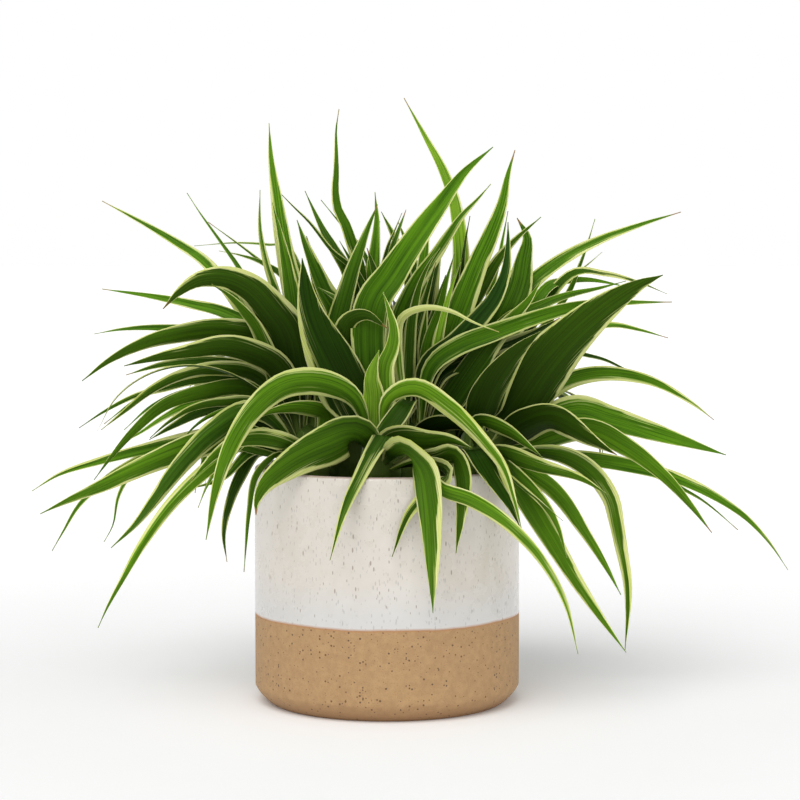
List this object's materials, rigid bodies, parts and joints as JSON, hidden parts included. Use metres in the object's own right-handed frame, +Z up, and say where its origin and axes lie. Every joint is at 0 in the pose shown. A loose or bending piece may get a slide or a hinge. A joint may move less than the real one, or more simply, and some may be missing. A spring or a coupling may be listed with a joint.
{
  "type": "potted spider plant",
  "caption": "Spider plant with arching, cream-edged strap leaves in a cylindrical stoneware pot, glazed above and bare clay below.",
  "frame": {"origin": "middle of the pot's flat underside", "axes": "+Z up along the pot's axis, +X to the right and -Y towards the viewer of the picture"},
  "size_m": [0.4412, 0.2827, 0.3444],
  "materials": {
    "pot": "warm white speckled glaze above, bare tan stoneware below",
    "soil": "dark, loose potting soil",
    "leaf": "semi-gloss green leaf with cream margins"
  },
  "bodies": {
    "root": {"pot": "pot", "soil": "soil", "rosette_front": "leaf", "rosette_centre": "leaf", "rosette_left": "leaf", "rosette_right": "leaf", "rosette_back_left": "leaf", "rosette_back_right": "leaf"}
  },
  "joints": []
}
